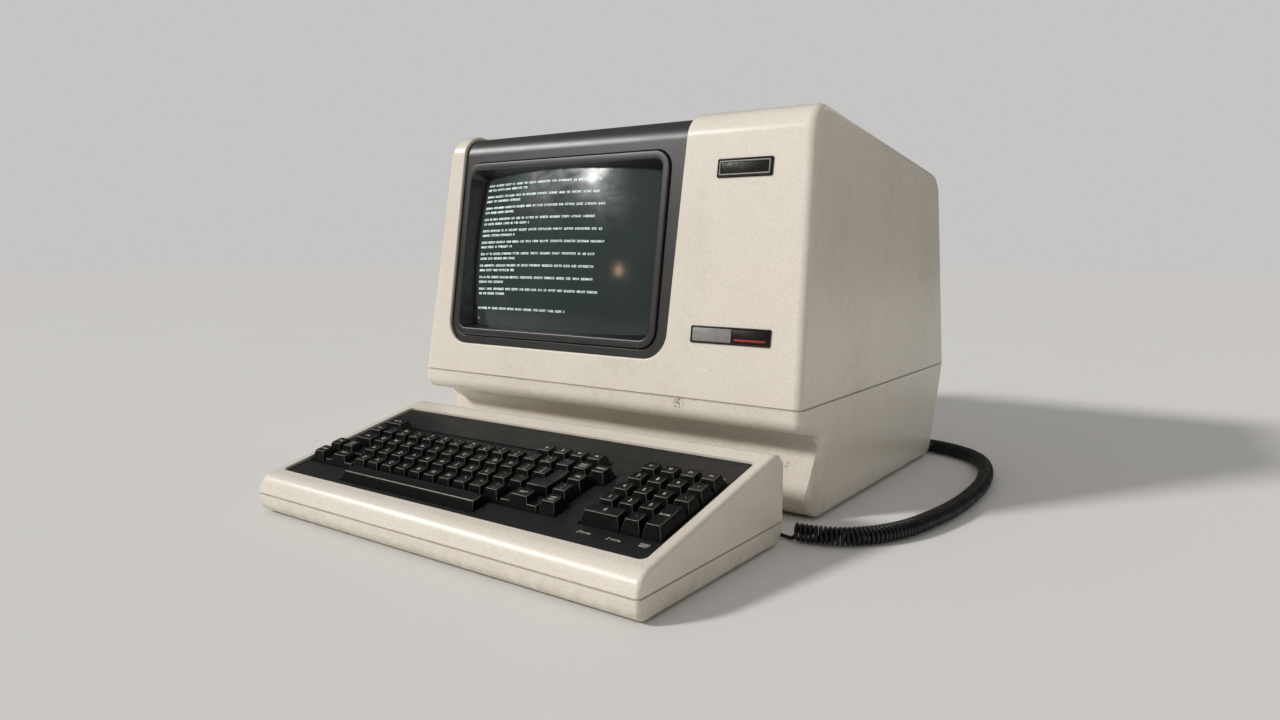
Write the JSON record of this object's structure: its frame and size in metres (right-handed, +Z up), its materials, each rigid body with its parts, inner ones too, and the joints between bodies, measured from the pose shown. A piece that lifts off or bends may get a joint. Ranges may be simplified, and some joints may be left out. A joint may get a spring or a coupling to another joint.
{
  "type": "video terminal computer",
  "caption": "Desktop video terminal with a leaning picture tube, a wedge keyboard of sprung keys, a curly keyboard cord and a rear connector panel.",
  "frame": {"origin": "on the floor, under the middle of the monitor and keyboard together", "axes": "+Z up, +X to the right as seen from the front, the screen faces -Y"},
  "size_m": [0.5855, 0.642, 0.3774],
  "materials": {
    "cream_plastic": "warm cream moulded plastic with a fine texture",
    "black_plastic": "semi-gloss black",
    "deck_plastic": "fine textured black",
    "key_plastic": "black keycaps worn light along their edges",
    "screen_glass": "dark grey-green curved glass",
    "steel": "zinc-plated sheet",
    "badge_metal": "dull framed plate",
    "copper": "enamelled copper wire",
    "circuit_board": "green board",
    "rubber": "black",
    "cord_rubber": "black curly cord",
    "red_plastic": "red"
  },
  "bodies": {
    "monitor": {"top_cover": "cream_plastic", "base_shell": "cream_plastic", "screen_surround": "black_plastic", "screen_bezel": "black_plastic", "picture_tube": "screen_glass", "tube_band": "steel", "deflection_yoke": "copper", "neck_board": "circuit_board", "anode_cap": "rubber", "flyback_transformer": "black_plastic", "video_board": "circuit_board", "chassis_frame": "steel", "logic_board": "circuit_board", "power_supply": "steel", "rear_panel": "steel", "serial_connector": "steel", "video_jacks": "steel", "keyboard_jack": "steel", "power_inlet": "black_plastic", "fuse_holder": "black_plastic", "switch_body": "black_plastic", "upper_badge": "badge_metal", "lower_badge": "badge_metal", "monitor_feet": "rubber", "monitor_screws": "steel", "coiled_cord": "cord_rubber", "plug_lead": "cord_rubber", "phone_plug": "cord_rubber", "keyboard_lead": "cord_rubber"},
    "keyboard": {"keyboard_top": "cream_plastic", "keyboard_base": "cream_plastic", "key_deck": "deck_plastic", "switch_plate": "steel", "key_switches": "black_plastic", "keyboard_board": "circuit_board", "indicator_lamps": "red_plastic", "keyboard_feet": "rubber", "keyboard_screws": "steel", "cord_boot": "rubber"},
    "power_switch": {"power_switch": "black_plastic"},
    "voltage_selector": {"voltage_selector": "red_plastic"},
    "space_bar": {"space_bar": "key_plastic"},
    "return_key": {"return_key": "key_plastic"},
    "left_shift_key": {"left_shift_key": "key_plastic"},
    "right_shift_key": {"right_shift_key": "key_plastic"},
    "control_key": {"control_key": "key_plastic"},
    "caps_lock_key": {"caps_lock_key": "key_plastic"},
    "tab_key": {"tab_key": "key_plastic"},
    "setup_key": {"setup_key": "key_plastic"},
    "arrow_keys": {"arrow_keys": "key_plastic"},
    "number_row_keys": {"number_row_keys": "key_plastic"},
    "upper_row_keys": {"upper_row_keys": "key_plastic"},
    "home_row_keys": {"home_row_keys": "key_plastic"},
    "lower_row_keys": {"lower_row_keys": "key_plastic"},
    "line_feed_key": {"line_feed_key": "key_plastic"},
    "no_scroll_key": {"no_scroll_key": "key_plastic"},
    "function_keys": {"function_keys": "key_plastic"},
    "keypad_keys": {"keypad_keys": "key_plastic"},
    "keypad_zero_key": {"keypad_zero_key": "key_plastic"},
    "keypad_enter_key": {"keypad_enter_key": "key_plastic"}
  },
  "joints": [
    {"name": "keyboard_slide", "type": "slide", "parent": "monitor", "child": "keyboard", "axis": [0, -1, 0], "range_m": [0, 0.12]},
    {"name": "power_rocker", "type": "hinge", "parent": "monitor", "child": "power_switch", "pos_m": [-0.098, 0.29968, 0.06455], "axis": [1, 0, 0], "range_deg": [-20, 0]},
    {"name": "voltage_slide", "type": "slide", "parent": "monitor", "child": "voltage_selector", "axis": [1, 0, 0], "range_m": [0, 0.012]},
    {"name": "space_bar_press", "type": "slide", "parent": "keyboard", "child": "space_bar", "axis": [0, 0.2238, -0.9746], "range_m": [0, 0.004], "stiffness_N_per_m": 350, "springref_m": -0.002},
    {"name": "return_key_press", "type": "slide", "parent": "keyboard", "child": "return_key", "axis": [0, 0.2238, -0.9746], "range_m": [0, 0.004], "stiffness_N_per_m": 350, "springref_m": -0.002},
    {"name": "left_shift_key_press", "type": "slide", "parent": "keyboard", "child": "left_shift_key", "axis": [0, 0.2238, -0.9746], "range_m": [0, 0.004], "stiffness_N_per_m": 350, "springref_m": -0.002},
    {"name": "right_shift_key_press", "type": "slide", "parent": "keyboard", "child": "right_shift_key", "axis": [0, 0.2238, -0.9746], "range_m": [0, 0.004], "stiffness_N_per_m": 350, "springref_m": -0.002},
    {"name": "control_key_press", "type": "slide", "parent": "keyboard", "child": "control_key", "axis": [0, 0.2238, -0.9746], "range_m": [0, 0.004], "stiffness_N_per_m": 350, "springref_m": -0.002},
    {"name": "caps_lock_key_press", "type": "slide", "parent": "keyboard", "child": "caps_lock_key", "axis": [0, 0.2238, -0.9746], "range_m": [0, 0.004], "stiffness_N_per_m": 350, "springref_m": -0.002},
    {"name": "tab_key_press", "type": "slide", "parent": "keyboard", "child": "tab_key", "axis": [0, 0.2238, -0.9746], "range_m": [0, 0.004], "stiffness_N_per_m": 350, "springref_m": -0.002},
    {"name": "setup_key_press", "type": "slide", "parent": "keyboard", "child": "setup_key", "axis": [0, 0.2238, -0.9746], "range_m": [0, 0.004], "stiffness_N_per_m": 350, "springref_m": -0.002},
    {"name": "arrow_keys_press", "type": "slide", "parent": "keyboard", "child": "arrow_keys", "axis": [0, 0.2238, -0.9746], "range_m": [0, 0.004], "stiffness_N_per_m": 800, "springref_m": -0.002},
    {"name": "number_row_keys_press", "type": "slide", "parent": "keyboard", "child": "number_row_keys", "axis": [0, 0.2238, -0.9746], "range_m": [0, 0.004], "stiffness_N_per_m": 800, "springref_m": -0.002},
    {"name": "upper_row_keys_press", "type": "slide", "parent": "keyboard", "child": "upper_row_keys", "axis": [0, 0.2238, -0.9746], "range_m": [0, 0.004], "stiffness_N_per_m": 800, "springref_m": -0.002},
    {"name": "home_row_keys_press", "type": "slide", "parent": "keyboard", "child": "home_row_keys", "axis": [0, 0.2238, -0.9746], "range_m": [0, 0.004], "stiffness_N_per_m": 800, "springref_m": -0.002},
    {"name": "lower_row_keys_press", "type": "slide", "parent": "keyboard", "child": "lower_row_keys", "axis": [0, 0.2238, -0.9746], "range_m": [0, 0.004], "stiffness_N_per_m": 800, "springref_m": -0.002},
    {"name": "line_feed_key_press", "type": "slide", "parent": "keyboard", "child": "line_feed_key", "axis": [0, 0.2238, -0.9746], "range_m": [0, 0.004], "stiffness_N_per_m": 350, "springref_m": -0.002},
    {"name": "no_scroll_key_press", "type": "slide", "parent": "keyboard", "child": "no_scroll_key", "axis": [0, 0.2238, -0.9746], "range_m": [0, 0.004], "stiffness_N_per_m": 350, "springref_m": -0.002},
    {"name": "function_keys_press", "type": "slide", "parent": "keyboard", "child": "function_keys", "axis": [0, 0.2238, -0.9746], "range_m": [0, 0.004], "stiffness_N_per_m": 800, "springref_m": -0.002},
    {"name": "keypad_keys_press", "type": "slide", "parent": "keyboard", "child": "keypad_keys", "axis": [0, 0.2238, -0.9746], "range_m": [0, 0.004], "stiffness_N_per_m": 800, "springref_m": -0.002},
    {"name": "keypad_zero_key_press", "type": "slide", "parent": "keyboard", "child": "keypad_zero_key", "axis": [0, 0.2238, -0.9746], "range_m": [0, 0.004], "stiffness_N_per_m": 350, "springref_m": -0.002},
    {"name": "keypad_enter_key_press", "type": "slide", "parent": "keyboard", "child": "keypad_enter_key", "axis": [0, 0.2238, -0.9746], "range_m": [0, 0.004], "stiffness_N_per_m": 350, "springref_m": -0.002}
  ]
}
